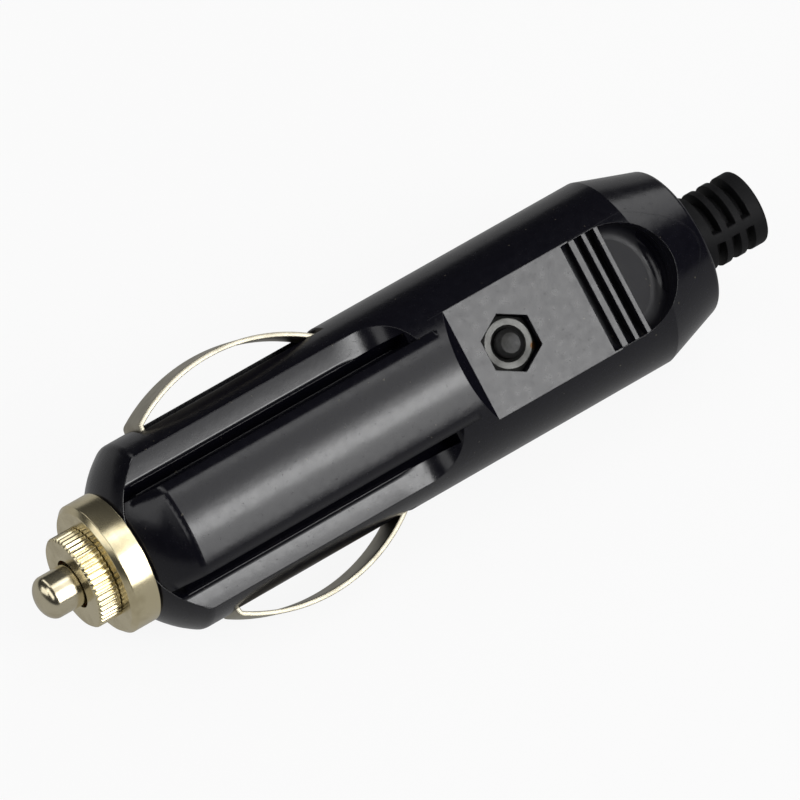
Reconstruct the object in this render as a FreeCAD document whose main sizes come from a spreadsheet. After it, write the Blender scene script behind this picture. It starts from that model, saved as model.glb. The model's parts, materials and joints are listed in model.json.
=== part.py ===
import FreeCAD, Part
import math
import os

import Sketcher

# Twelve-volt cigarette lighter plug, in millimetres.
# It is drawn with its axis on X: X = 0 is the front face of the housing, +X points to the cable,
# +Y to the left leaf spring and +Z to the pad with the nut. One shared placement then rolls it about
# its axis, so that it lies on its round body and on the edge of one leaf spring.

SIZES = {
    # housing
    "body_radius": 10.4,
    "nose_radius": 6.6,
    "cone_length": 4.0,
    "cone_curve": 12.0,
    "edge_round": 1.2,
    "nose_ring": 2.9,
    "window_length": 22.4,
    "handle_behind_screw": 16.9,
    "taper_length": 7.0,
    "taper_drop": 2.3,
    "rear_round": 0.7,
    # flutes beside the lands
    "land_half_width": 5.0,
    "slot_width": 1.2,
    "slot_depth": 1.1,
    "slot_front": 2.4,
    "slot_overrun": 4.2,
    "flute_depth": 4.4,
    "flute_overrun": 1.1,
    "flute_end_radius": 5.25,
    # pad, ribs and thumb scoop
    "pad_depth": 2.0,
    "pad_wall_run": 1.8,
    "pad_before_screw": 5.0,
    "pad_after_screw": 9.3,
    "scoop_front_depth": 0.9,
    "scoop_slope": 9.0,
    "scoop_length": 9.5,
    "scoop_edge": 0.13,
    "scoop_round": 1.3,
    "rib_setback": 1.05,
    "first_rib_width": 0.7,
    "rib_width": 0.5,
    "rib_pitch": 1.5,
    # clamp screw and nut
    "screw_radius": 1.5,
    "screw_length": 14.0,
    "head_radius": 2.75,
    "head_height": 2.0,
    "head_recess": 0.6,
    "cross_width": 0.9,
    "cross_length": 3.2,
    "cross_depth": 1.2,
    "nut_flats": 5.5,
    "nut_thickness": 2.4,
    "nut_recess": 0.95,
    "nut_chamfer": 0.35,
    "nut_face_radius": 2.55,
    "nut_corner_drop": 0.4,
    "post_half_length": 3.5,
    "post_half_width": 3.4,
    "wire_way_width": 2.0,
    "wire_way_height": 2.2,
    # nose collar and fuse cap
    "flange_radius": 7.15,
    "flange_length": 3.2,
    "flange_bevel": 0.5,
    "neck_radius": 5.4,
    "neck_length": 2.6,
    "rim_radius": 6.1,
    "rim_length": 1.8,
    "thread_radius": 4.5,
    "spigot_length": 7.2,
    "cap_radius": 5.0,
    "cap_length": 2.5,
    "cap_wall": 1.8,
    "cap_bore": 3.65,
    "knurl_count": 40.0,
    "knurl_depth": 0.28,
    "knurl_width": 0.5,
    "cap_bevel": 0.25,
    # tip, washer and fuse
    "pin_radius": 2.3,
    "pin_length": 4.2,
    "pin_dome": 1.5,
    "pin_hole_play": 0.35,
    "washer_thickness": 0.6,
    "washer_radius": 3.5,
    "shoulder_radius": 3.3,
    "shoulder_length": 1.2,
    "fuse_radius": 3.0,
    "fuse_length": 30.0,
    "fuse_cap_length": 6.0,
    "fuse_cap_wall": 0.3,
    "glass_wall": 0.5,
    "fuse_wire_radius": 0.15,
    "fuse_play": 0.5,
    # spring and rear contact
    "spring_room": 10.0,
    "spring_radius": 2.3,
    "spring_wire": 0.6,
    "spring_turns": 6.0,
    "contact_radius": 4.0,
    "contact_thickness": 0.9,
    "contact_boss_radius": 1.7,
    "contact_boss_length": 0.9,
    "tab_width": 3.0,
    "tab_thickness": 0.6,
    "tab_length": 1.6,
    "tab_room": 2.0,
    "wire_chamber_radius": 4.6,
    # leaf springs and their channels
    "leaf_width": 5.0,
    "leaf_thickness": 0.5,
    "leaf_rise": 3.26,
    "leaf_crest_lead": 0.9,
    "leaf_leg_lean": 0.25,
    "foot_end_gap": 0.4,
    "tail_lead": 0.42,
    "tail_length": 3.3,
    "tail_drop": 0.6,
    "leaf_side_play": 0.15,
    "chamber_wall": 1.4,
    "roof_wall": 0.95,
    "roof_play": 0.25,
    "foot_pocket": 1.6,
    "tail_pocket": 5.1,
    # ground strap
    "strap_thickness": 0.5,
    "strap_ring_radius": 5.2,
    "strap_arm_reach": 9.0,
    "strap_arm_width": 4.6,
    "strap_tongue_width": 2.5,
    "strap_tongue_height": 4.4,
    "strap_tongue_end": 1.2,
    # strain relief
    "boot_radius": 4.1,
    "boot_length": 8.8,
    "boot_bore": 2.1,
    "boot_neck_radius": 3.4,
    "boot_neck_length": 2.4,
    "boot_flange_radius": 5.2,
    "boot_flange_length": 1.6,
    "boot_collar": 1.7,
    "boot_slot_width": 0.9,
    "boot_slot_pitch": 1.8,
    "boot_slot_floor": 2.9,
    "boot_slot_angle": 150.0,
    "boot_spine_angle": 23.0,
    "boot_round": 0.35,
    # clearances
    "seat_gap": 0.05,
    "run_gap": 0.1,
}
BOOT_SLOT_ROWS = 3
THIN_RIBS = 2
CONE_EDGE = 20
CUT_OVER = 2.0
HEXAGON_CORNER = 2 / math.sqrt(3)
NEAR = 0.01
ALONG = 0.9


class Size:
    """A length that knows its value and the spreadsheet expression that drives it."""

    def __init__(self, value, text):
        self.value = value
        self.text = text

    @staticmethod
    def of(item):
        return item if isinstance(item, Size) else Size(float(item), repr(float(item)))

    def join(self, other, sign, value):
        return Size(value, f"({self.text} {sign} {other.text})")

    def __add__(self, other):
        other = Size.of(other)
        return self.join(other, "+", self.value + other.value)

    def __sub__(self, other):
        other = Size.of(other)
        return self.join(other, "-", self.value - other.value)

    def __mul__(self, other):
        other = Size.of(other)
        return self.join(other, "*", self.value * other.value)

    def __truediv__(self, other):
        other = Size.of(other)
        return self.join(other, "/", self.value / other.value)

    def __neg__(self):
        return Size(-self.value, f"(0 - {self.text})")

    def __rsub__(self, other):
        return Size.of(other) - self

    def __radd__(self, other):
        return Size.of(other) + self

    def __rmul__(self, other):
        return Size.of(other) * self

    def root(self):
        return Size(math.sqrt(self.value), f"sqrt({self.text})")

    def sine(self):
        """The sine of an angle in degrees."""
        return Size(math.sin(math.radians(self.value)), f"sin({self.text} * 1 deg)")


class Sheet:
    """The named sizes, read as attributes that carry their spreadsheet expression."""

    def __init__(self, document, values):
        self.cells = document.addObject("Spreadsheet::Sheet", "Sizes")
        self.values = values
        for row, (name, value) in enumerate(values.items(), start=1):
            self.cells.set(f"A{row}", name)
            self.cells.set(f"B{row}", str(value))
            self.cells.setAlias(f"B{row}", name)

    def __getattr__(self, name):
        return Size(self.values[name], f"Sizes.{name}")


doc = FreeCAD.newDocument("LighterPlug")
sheet = Sheet(doc, SIZES)
doc.recompute()
ZERO = Size.of(0)


# Places along the axis, worked out from the sizes

cap_back = -(sheet.flange_length + sheet.run_gap)
cap_front = cap_back - sheet.cap_length
washer_front = cap_front + sheet.cap_wall
shoulder_front = washer_front + sheet.washer_thickness
fuse_front = shoulder_front + sheet.shoulder_length
fuse_back = fuse_front + sheet.fuse_length
contact_front = fuse_back + sheet.spring_room
contact_back = contact_front + sheet.contact_thickness
post_front = contact_back + sheet.tab_room
screw_place = post_front + sheet.post_half_length
post_back = screw_place + sheet.post_half_length

window_front = sheet.cone_length + sheet.nose_ring
window_back = window_front + sheet.window_length
flute_back = window_back + sheet.flute_overrun
taper_front = screw_place + sheet.handle_behind_screw
housing_back = taper_front + sheet.taper_length
rear_radius = sheet.body_radius - sheet.taper_drop

pad_height = sheet.body_radius - sheet.pad_depth
pad_front = screw_place - sheet.pad_before_screw
pad_back = screw_place + sheet.pad_after_screw
pad_half_width = (sheet.body_radius * sheet.body_radius - pad_height * pad_height).root()
scoop_radius = pad_half_width - sheet.scoop_edge
scoop_front = pad_height - sheet.scoop_front_depth
scoop_fall = sheet.scoop_slope.sine()
scoop_low = scoop_front - sheet.scoop_length * scoop_fall
ledge_height = sheet.body_radius - sheet.flute_depth
slot_floor = ledge_height - sheet.slot_depth
slot_back = flute_back + sheet.slot_overrun

chamber_radius = sheet.fuse_radius + sheet.fuse_play
channel_floor = chamber_radius + sheet.chamber_wall
roof_height = sheet.body_radius - sheet.roof_wall
channel_half = sheet.leaf_width / 2 + sheet.leaf_side_play
channel_front = window_front - sheet.foot_pocket
channel_back = window_back + sheet.tail_pocket

nut_top = pad_height - sheet.nut_recess
nut_bottom = nut_top - sheet.nut_thickness
head_seat = pad_height - sheet.head_recess - sheet.head_height
leaf_top = sheet.body_radius + sheet.leaf_rise
collar_length = sheet.neck_length + sheet.rim_length
strap_front = channel_front - sheet.strap_thickness - sheet.seat_gap
tongue_back = post_front - sheet.strap_tongue_end
tip_end = cap_front - sheet.pin_length
boot_end = housing_back + sheet.boot_length
boot_neck_front = housing_back - sheet.boot_neck_length
boot_flange_front = boot_neck_front - sheet.boot_flange_length


# Small modelling helpers

def bind(item, path, size):
    """Ties one property of an object to the sheet."""
    item.setExpression(path, Size.of(size).text)


def new_body(label):
    body = doc.addObject("PartDesign::Body", label)
    body.Label = label
    return body


def origin_plane(body, role):
    return next(item for item in body.Origin.OriginFeatures if item.Role == role)


def sketch_on(body, role, name, offset=ZERO):
    """An empty sketch on one of the body's own planes, moved along the plane's normal."""
    sketch = body.newObject("Sketcher::SketchObject", name)
    sketch.AttachmentSupport = (origin_plane(body, role), [""])
    sketch.MapMode = "FlatFace"
    sketch.AttachmentOffset = FreeCAD.Placement(
        FreeCAD.Vector(0, 0, offset.value), FreeCAD.Rotation())
    bind(sketch, "AttachmentOffset.Base.z", offset)
    return sketch


def arc_centre(start, end, radius, left):
    """Centre of the arc from start to end that bulges to the left or right of its chord."""
    chord = end - start
    middle = (start + end) * 0.5
    height = math.sqrt(max(radius ** 2 - chord.Length ** 2 / 4, 0.0))
    normal = FreeCAD.Vector(-chord.y, chord.x, 0).normalize()
    return middle - normal * height if left else middle + normal * height


def draw_outline(sketch, corners, arcs=None):
    """A closed outline through the corners, each tied to the sheet.

    arcs maps the number of an edge to its radius and to whether it bulges to the left.
    """
    arcs = arcs or {}
    spots = [FreeCAD.Vector(Size.of(x).value, Size.of(y).value, 0) for x, y in corners]
    edges = []
    ends = []
    for number, start in enumerate(spots):
        end = spots[(number + 1) % len(spots)]
        if number not in arcs:
            edges.append(Part.LineSegment(start, end))
            ends.append((1, 2))
            continue
        radius, left = arcs[number]
        centre = arc_centre(start, end, radius.value, left)
        circle = Part.Circle(centre, FreeCAD.Vector(0, 0, 1), radius.value)
        first, last = (end, start) if left else (start, end)
        begin = math.atan2(first.y - centre.y, first.x - centre.x)
        finish = math.atan2(last.y - centre.y, last.x - centre.x)
        if finish < begin:
            finish += 2 * math.pi
        edges.append(Part.ArcOfCircle(circle, begin, finish))
        ends.append((2, 1) if left else (1, 2))
    sketch.addGeometry(edges, False)
    rules = []
    drivers = []
    for number, (x, y) in enumerate(corners):
        after = (number + 1) % len(corners)
        rules.append(Sketcher.Constraint("Coincident", number, ends[number][1], after, ends[after][0]))
        for kind, size in (("DistanceX", Size.of(x)), ("DistanceY", Size.of(y))):
            drivers.append((len(rules), size))
            rules.append(Sketcher.Constraint(kind, -1, 1, number, ends[number][0], size.value))
    for number, (radius, _) in arcs.items():
        drivers.append((len(rules), radius))
        rules.append(Sketcher.Constraint("Radius", number, radius.value))
    sketch.addConstraint(rules)
    for number, size in drivers:
        bind(sketch, f"Constraints[{number}]", size)


def draw_circle(sketch, radius, x=ZERO, y=ZERO):
    centre = FreeCAD.Vector(x.value, y.value, 0)
    sketch.addGeometry(Part.Circle(centre, FreeCAD.Vector(0, 0, 1), radius.value), False)
    sketch.addConstraint([
        Sketcher.Constraint("DistanceX", -1, 1, 0, 3, x.value),
        Sketcher.Constraint("DistanceY", -1, 1, 0, 3, y.value),
        Sketcher.Constraint("Radius", 0, radius.value)])
    for number, size in enumerate((x, y, radius)):
        bind(sketch, f"Constraints[{number}]", size)


def revolve(body, name, corners, angle=360.0, arcs=None, cut=False):
    """Turns an outline of places on the axis and radii about the axis."""
    sketch = sketch_on(body, "XY_Plane", name + "_outline")
    draw_outline(sketch, corners, arcs)
    kind = "PartDesign::Groove" if cut else "PartDesign::Revolution"
    feature = body.newObject(kind, name)
    feature.Profile = sketch
    feature.ReferenceAxis = (sketch, ["H_Axis"])
    if isinstance(angle, Size):
        feature.Angle = angle.value
        bind(feature, "Angle", angle)
    else:
        feature.Angle = angle
    return feature


def extrude(body, name, sketch, length, cut=False, flip=False, both=False):
    """Pads or pockets a sketch by a tied length, to one side or evenly to both."""
    feature = body.newObject("PartDesign::Pocket" if cut else "PartDesign::Pad", name)
    feature.Profile = sketch
    feature.Length = length.value
    bind(feature, "Length", length)
    if both:
        feature.SideType = "Symmetric"
    feature.Reversed = flip
    return feature


def block(body, name, low, high, cut=False):
    """A box between two corners, added or cut away."""
    kind = "PartDesign::SubtractiveBox" if cut else "PartDesign::AdditiveBox"
    box = body.newObject(kind, name)
    for side, axis, start, end in zip(("Length", "Width", "Height"), "xyz", low, high):
        bind(box, side, Size.of(end) - Size.of(start))
        bind(box, f"Placement.Base.{axis}", start)
    return box


def rod(body, name, base, radius, length, along="z", cut=False):
    """A cylinder on X or Z from its base point, added or cut away."""
    kind = "PartDesign::SubtractiveCylinder" if cut else "PartDesign::AdditiveCylinder"
    cylinder = body.newObject(kind, name)
    if along == "x":
        cylinder.Placement = FreeCAD.Placement(
            FreeCAD.Vector(), FreeCAD.Rotation(FreeCAD.Vector(0, 1, 0), 90))
    bind(cylinder, "Radius", radius)
    bind(cylinder, "Height", length)
    for axis, place in zip("xyz", base):
        bind(cylinder, f"Placement.Base.{axis}", place)
    return cylinder


def mirror(body, name, features, role="XZ_Plane"):
    feature = body.newObject("PartDesign::Mirrored", name)
    feature.Originals = features
    feature.MirrorPlane = (origin_plane(body, role), [""])
    body.Tip = feature
    return feature


def round_edges(body, name, wanted, radius):
    """Rounds the edges of the last feature that a test picks out."""
    doc.recompute()
    base = body.Tip
    names = [f"Edge{number}" for number, edge in enumerate(base.Shape.Edges, start=1) if wanted(edge)]
    feature = body.newObject("PartDesign::Fillet", name)
    feature.Base = (base, names)
    feature.Radius = radius.value
    bind(feature, "Radius", radius)
    return feature


def ring_edge(place, radius, along="x"):
    """A test for the round edges square to X or Z at one place and radius."""
    def wanted(edge):
        curve = edge.Curve
        if not isinstance(curve, Part.Circle) or abs(getattr(curve.Axis, along)) < ALONG:
            return False
        at_place = abs(getattr(curve.Center, along) - place.value) < NEAR
        return at_place and abs(curve.Radius - radius.value) < NEAR
    return wanted


# Housing halves

def shell_half(label):
    """One moulded half, without its screw seat: the half on +Z of the split."""
    body = new_body(label)
    gap = sheet.seat_gap
    neck_bore = sheet.neck_radius + gap
    rim_bore = sheet.rim_radius + gap
    rim_front = sheet.neck_length - gap
    rim_back = collar_length + gap
    contact_bore = sheet.contact_radius + gap
    boot_neck_bore = sheet.boot_neck_radius + gap
    boot_flange_bore = sheet.boot_flange_radius + gap
    revolve(body, label + "_turned", [
        (ZERO, neck_bore), (rim_front, neck_bore), (rim_front, rim_bore), (rim_back, rim_bore),
        (rim_back, chamber_radius), (contact_front - gap, chamber_radius),
        (contact_front - gap, contact_bore), (contact_back + gap, contact_bore),
        (contact_back + gap, chamber_radius), (post_front, chamber_radius), (post_front, ZERO),
        (post_back, ZERO), (post_back, sheet.wire_chamber_radius),
        (boot_flange_front - gap, sheet.wire_chamber_radius),
        (boot_flange_front - gap, boot_flange_bore), (boot_neck_front, boot_flange_bore),
        (boot_neck_front, boot_neck_bore), (housing_back, boot_neck_bore),
        (housing_back, rear_radius), (taper_front, sheet.body_radius),
        (sheet.cone_length, sheet.body_radius), (ZERO, sheet.nose_radius)], angle=180.0,
        arcs={CONE_EDGE: (sheet.cone_curve, False)})
    round_edges(body, label + "_nose_round",
                ring_edge(sheet.cone_length, sheet.body_radius), sheet.edge_round)
    round_edges(body, label + "_rear_round", ring_edge(housing_back, rear_radius), sheet.rear_round)
    cut_flutes(body, label)
    cut_leaf_channels(body, label)
    cut_pad(body, label)
    cut_strap_seat(body, label)
    side = block(body, label + "_wire_way",
                 (post_front - gap, sheet.post_half_width, -CUT_OVER),
                 (post_back + gap, sheet.post_half_width + sheet.wire_way_width, sheet.wire_way_height),
                 cut=True)
    mirror(body, label + "_wire_ways", [side])
    return body


def cut_flutes(body, label):
    """A flat ledge each side of the land, with a curved run-out, and a V slot along the land's foot."""
    outside = sheet.body_radius + CUT_OVER
    slot_side = sheet.land_half_width + sheet.slot_width
    ledge = sketch_on(body, "XZ_Plane", label + "_ledge_outline", sheet.land_half_width)
    draw_outline(ledge, [
        (ZERO, ledge_height), (flute_back, ledge_height),
        (flute_back + sheet.flute_end_radius, ledge_height + sheet.flute_end_radius),
        (flute_back + sheet.flute_end_radius, outside), (ZERO, outside)],
        {1: (sheet.flute_end_radius, False)})
    reach = outside - sheet.land_half_width
    flute = extrude(body, label + "_ledge", ledge, reach, cut=True, flip=True)
    groove = sketch_on(body, "YZ_Plane", label + "_slot_outline", sheet.slot_front)
    draw_outline(groove, [
        (-sheet.land_half_width, slot_floor), (-sheet.land_half_width, outside),
        (-slot_side, outside), (-slot_side, ledge_height)])
    slot = extrude(body, label + "_slot", groove, slot_back - sheet.slot_front, cut=True, flip=True)
    mirror(body, label + "_flutes", [flute, slot])


def cut_leaf_channels(body, label):
    """A covered channel for the leaf's foot and tail each side, and the window between them."""
    covered = block(body, label + "_channel", (channel_front, channel_floor, -CUT_OVER),
                    (channel_back, roof_height, channel_half), cut=True)
    window = block(body, label + "_window", (window_front, channel_floor, -CUT_OVER),
                   (window_back, sheet.body_radius + CUT_OVER, channel_half), cut=True)
    mirror(body, label + "_channels", [covered, window])


def cut_pad(body, label):
    """The flat pad with its sloping front wall, then the thumb scoop, deeper to the rear, and its ribs."""
    outside = sheet.body_radius + CUT_OVER
    wall_top = pad_front - sheet.pad_wall_run * (outside - pad_height) / sheet.pad_depth
    pad = sketch_on(body, "XZ_Plane", label + "_pad_outline")
    rib_front = pad_back + sheet.rib_setback
    draw_outline(pad, [(wall_top, outside), (pad_front, pad_height), (rib_front, pad_height),
                       (rib_front, outside)])
    extrude(body, label + "_pad", pad, 2 * outside, cut=True, both=True)
    bend = sheet.scoop_length - scoop_radius
    scoop = sketch_on(body, "XY_Plane", label + "_scoop_outline", scoop_front)
    scoop.AttachmentOffset = FreeCAD.Placement(
        FreeCAD.Vector(pad_back.value, 0, scoop_front.value),
        FreeCAD.Rotation(FreeCAD.Vector(0, 1, 0), sheet.scoop_slope.value))
    bind(scoop, "AttachmentOffset.Base.x", pad_back)
    bind(scoop, "AttachmentOffset.Rotation.Angle", sheet.scoop_slope)
    draw_outline(scoop, [
        (ZERO, -scoop_radius), (bend, -scoop_radius), (sheet.scoop_length, ZERO),
        (bend, scoop_radius), (ZERO, scoop_radius)],
        {1: (scoop_radius, False), 2: (scoop_radius, False)})
    extrude(body, label + "_scoop", scoop, outside - scoop_low, cut=True, flip=True)
    scoop_foot = ring_edge(scoop_front - bend * scoop_fall, scoop_radius, along="z")
    round_edges(body, label + "_scoop_round", scoop_foot, sheet.scoop_round)
    add_rib(body, label + "_first_rib", rib_front, sheet.first_rib_width)
    first_middle = rib_front + sheet.first_rib_width / 2
    for number in range(1, THIN_RIBS + 1):
        middle = first_middle + sheet.rib_pitch * number
        add_rib(body, f"{label}_rib_{number}", middle - sheet.rib_width / 2, sheet.rib_width)


def add_rib(body, name, front, width):
    """One rib across the scoop, from its deepest level up to the pad's."""
    block(body, name, (front, -scoop_radius, scoop_low),
          (front + width, scoop_radius, pad_height))


def cut_strap_seat(body, label):
    """The slot that holds the ground strap's ring and arms."""
    gap = sheet.seat_gap
    depth = channel_front - strap_front + gap
    rod(body, label + "_strap_ring", (strap_front - gap, ZERO, ZERO),
        sheet.strap_ring_radius + gap, depth, along="x", cut=True)
    reach = sheet.strap_arm_reach + gap
    block(body, label + "_strap_arms", (strap_front - gap, -reach, -CUT_OVER),
          (channel_front, reach, sheet.strap_arm_width / 2 + gap), cut=True)


def make_upper_shell():
    body = shell_half("upper_shell")
    gap = sheet.seat_gap
    rod(body, "screw_hole", (screw_place, ZERO, -CUT_OVER), sheet.screw_radius + sheet.run_gap,
        sheet.body_radius + 2 * CUT_OVER, cut=True)
    hexagon(body, "nut_pocket", sheet.nut_flats / 2 + sheet.run_gap, nut_bottom,
            sheet.body_radius + CUT_OVER - nut_bottom, cut=True)
    half = sheet.strap_tongue_width / 2 + gap
    block(body, "tongue_groove", (strap_front, -half, ZERO),
          (post_front, half, sheet.strap_tongue_height + sheet.strap_thickness + gap), cut=True)
    return body


def make_lower_shell():
    body = shell_half("lower_shell")
    rod(body, "shank_hole", (screw_place, ZERO, -CUT_OVER), sheet.screw_radius + sheet.run_gap,
        sheet.body_radius + 2 * CUT_OVER, cut=True)
    rod(body, "head_seat", (screw_place, ZERO, head_seat), sheet.head_radius + sheet.run_gap,
        sheet.body_radius + CUT_OVER - head_seat, cut=True)
    return body


def hexagon(body, name, half_flats, bottom, height, cut=False):
    """A hexagonal prism at the screw, with two of its flats square to the axis."""
    kind = "PartDesign::SubtractivePrism" if cut else "PartDesign::AdditivePrism"
    prism = body.newObject(kind, name)
    prism.Polygon = 6
    prism.Placement = FreeCAD.Placement(
        FreeCAD.Vector(), FreeCAD.Rotation(FreeCAD.Vector(0, 0, 1), 90))
    bind(prism, "Circumradius", half_flats * HEXAGON_CORNER)
    bind(prism, "Height", height)
    for axis, place in zip("xyz", (screw_place, ZERO, bottom)):
        bind(prism, f"Placement.Base.{axis}", place)
    return prism


# Clamp screw and nut

def make_clamp_screw():
    body = new_body("clamp_screw")
    rod(body, "screw_head", (screw_place, ZERO, -(head_seat + sheet.head_height)),
        sheet.head_radius, sheet.head_height)
    rod(body, "screw_shank", (screw_place, ZERO, -head_seat), sheet.screw_radius, sheet.screw_length)
    half_width = sheet.cross_width / 2
    half_length = sheet.cross_length / 2
    low = -(head_seat + sheet.head_height + sheet.cross_depth)
    high = low + 2 * sheet.cross_depth
    block(body, "cross_slot", (screw_place - half_length, -half_width, low),
          (screw_place + half_length, half_width, high), cut=True)
    block(body, "cross_slot_across", (screw_place - half_width, -half_length, low),
          (screw_place + half_width, half_length, high), cut=True)
    return body


def make_clamp_nut():
    """A hexagon nut with a countersunk thread and corners bevelled to a round face."""
    body = new_body("clamp_nut")
    hexagon(body, "nut_hexagon", sheet.nut_flats / 2, nut_bottom, sheet.nut_thickness)
    rod(body, "nut_thread", (screw_place, ZERO, nut_bottom - CUT_OVER),
        sheet.screw_radius + sheet.seat_gap, sheet.nut_thickness + 2 * CUT_OVER, cut=True)
    doc.recompute()
    base = body.Tip
    mouths = [f"Edge{number}" for number, edge in enumerate(base.Shape.Edges, start=1)
              if isinstance(edge.Curve, Part.Circle)]
    countersink = body.newObject("PartDesign::Chamfer", "nut_countersink")
    countersink.Base = (base, mouths)
    bind(countersink, "Size", sheet.nut_chamfer)
    corner = sketch_on(body, "XZ_Plane", "nut_corner_outline")
    bind(corner, "AttachmentOffset.Base.x", screw_place)
    outside = sheet.nut_flats * HEXAGON_CORNER / 2 + sheet.seat_gap
    draw_outline(corner, [(sheet.nut_face_radius, nut_top), (outside, nut_top - sheet.nut_corner_drop),
                          (outside, nut_top)])
    bevel = body.newObject("PartDesign::Groove", "nut_corner_bevel")
    bevel.Profile = corner
    bevel.ReferenceAxis = (corner, ["V_Axis"])
    bevel.Angle = 360
    return body


# Collar and fuse cap

def make_nose_collar():
    body = new_body("nose_collar")
    bore = sheet.thread_radius + sheet.run_gap
    front = -sheet.flange_length
    bevel = sheet.flange_bevel
    revolve(body, "collar_turned", [
        (front, bore), (collar_length, bore), (collar_length, sheet.rim_radius),
        (sheet.neck_length, sheet.rim_radius), (sheet.neck_length, sheet.neck_radius),
        (ZERO, sheet.neck_radius), (ZERO, sheet.flange_radius),
        (front + bevel, sheet.flange_radius), (front, sheet.flange_radius - bevel)])
    return body


def make_fuse_cap():
    body = new_body("fuse_cap")
    hole = sheet.pin_radius + sheet.pin_hole_play
    spigot_back = cap_back + sheet.spigot_length
    revolve(body, "cap_turned", [
        (cap_front, hole), (washer_front, hole), (washer_front, sheet.cap_bore),
        (spigot_back, sheet.cap_bore), (spigot_back, sheet.thread_radius),
        (cap_back, sheet.thread_radius), (cap_back, sheet.cap_radius),
        (cap_front + sheet.cap_bevel, sheet.cap_radius), (cap_front, sheet.cap_radius - sheet.cap_bevel)])
    groove = sketch_on(body, "YZ_Plane", "knurl_outline", cap_front - sheet.seat_gap)
    half = sheet.knurl_width / 2
    outside = sheet.cap_radius + sheet.seat_gap
    draw_outline(groove, [(sheet.cap_radius - sheet.knurl_depth, ZERO), (outside, -half), (outside, half)])
    cut = extrude(body, "knurl_groove", groove, sheet.cap_length + 2 * sheet.seat_gap, cut=True, flip=True)
    knurl = body.newObject("PartDesign::PolarPattern", "knurl")
    knurl.Originals = [cut]
    knurl.Axis = (groove, ["N_Axis"])
    knurl.Angle = 360
    knurl.Occurrences = round(sheet.knurl_count.value)
    bind(knurl, "Occurrences", sheet.knurl_count)
    body.Tip = knurl
    return body


# Tip, washer and fuse

def make_tip_contact():
    body = new_body("tip_contact")
    dome = sheet.pin_dome
    dome_radius = (sheet.pin_radius * sheet.pin_radius + dome * dome) / (2 * dome)
    revolve(body, "tip_turned", [
        (tip_end, ZERO), (tip_end + dome, sheet.pin_radius), (shoulder_front, sheet.pin_radius),
        (shoulder_front, sheet.shoulder_radius), (fuse_front, sheet.shoulder_radius),
        (fuse_front, ZERO)], arcs={0: (dome_radius, True)})
    return body


def make_tip_washer():
    body = new_body("tip_washer")
    hole = sheet.pin_radius + sheet.run_gap
    revolve(body, "washer_turned", [
        (washer_front, hole), (shoulder_front, hole), (shoulder_front, sheet.washer_radius),
        (washer_front, sheet.washer_radius)])
    return body


def make_fuse_cap_end(label, closed, direction):
    """One plated cup of the fuse, closed at one end."""
    body = new_body(label)
    wall = sheet.fuse_cap_wall * direction
    mouth = closed + sheet.fuse_cap_length * direction
    bore = sheet.fuse_radius - sheet.fuse_cap_wall
    revolve(body, label + "_turned", [
        (closed, ZERO), (closed, sheet.fuse_radius), (mouth, sheet.fuse_radius), (mouth, bore),
        (closed + wall, bore), (closed + wall, ZERO)])
    return body


def make_fuse_glass():
    body = new_body("fuse_glass")
    front = fuse_front + sheet.fuse_cap_wall
    back = fuse_back - sheet.fuse_cap_wall
    outside = sheet.fuse_radius - sheet.fuse_cap_wall - sheet.seat_gap
    inside = outside - sheet.glass_wall
    revolve(body, "glass_turned", [(front, inside), (back, inside), (back, outside), (front, outside)])
    return body


def make_fuse_wire():
    body = new_body("fuse_wire")
    front = fuse_front + sheet.fuse_cap_wall
    rod(body, "wire_run", (front, ZERO, ZERO), sheet.fuse_wire_radius,
        sheet.fuse_length - 2 * sheet.fuse_cap_wall, along="x")
    return body


def make_fuse_spring():
    """A coil of round wire between the fuse and the rear contact."""
    body = new_body("fuse_spring")
    half_wire = sheet.spring_wire / 2
    start = fuse_back + sheet.seat_gap + half_wire
    section = sketch_on(body, "XY_Plane", "spring_wire_section")
    draw_circle(section, half_wire, start, sheet.spring_radius)
    coil = body.newObject("PartDesign::AdditiveHelix", "spring_coil")
    coil.Profile = section
    coil.ReferenceAxis = (section, ["H_Axis"])
    coil.Mode = "height-turns-angle"
    bind(coil, "Height", sheet.spring_room - sheet.spring_wire - 2 * sheet.seat_gap)
    bind(coil, "Turns", sheet.spring_turns)
    return body


def make_rear_contact():
    body = new_body("rear_contact")
    revolve(body, "contact_turned", [
        (contact_front - sheet.contact_boss_length, ZERO),
        (contact_front - sheet.contact_boss_length, sheet.contact_boss_radius),
        (contact_front, sheet.contact_boss_radius), (contact_front, sheet.contact_radius),
        (contact_back, sheet.contact_radius), (contact_back, ZERO)])
    half_width = sheet.tab_width / 2
    half_thickness = sheet.tab_thickness / 2
    block(body, "solder_tab", (contact_back - sheet.seat_gap, -half_width, -half_thickness),
          (contact_back + sheet.tab_length, half_width, half_thickness))
    return body


# Leaf springs and ground strap

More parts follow.
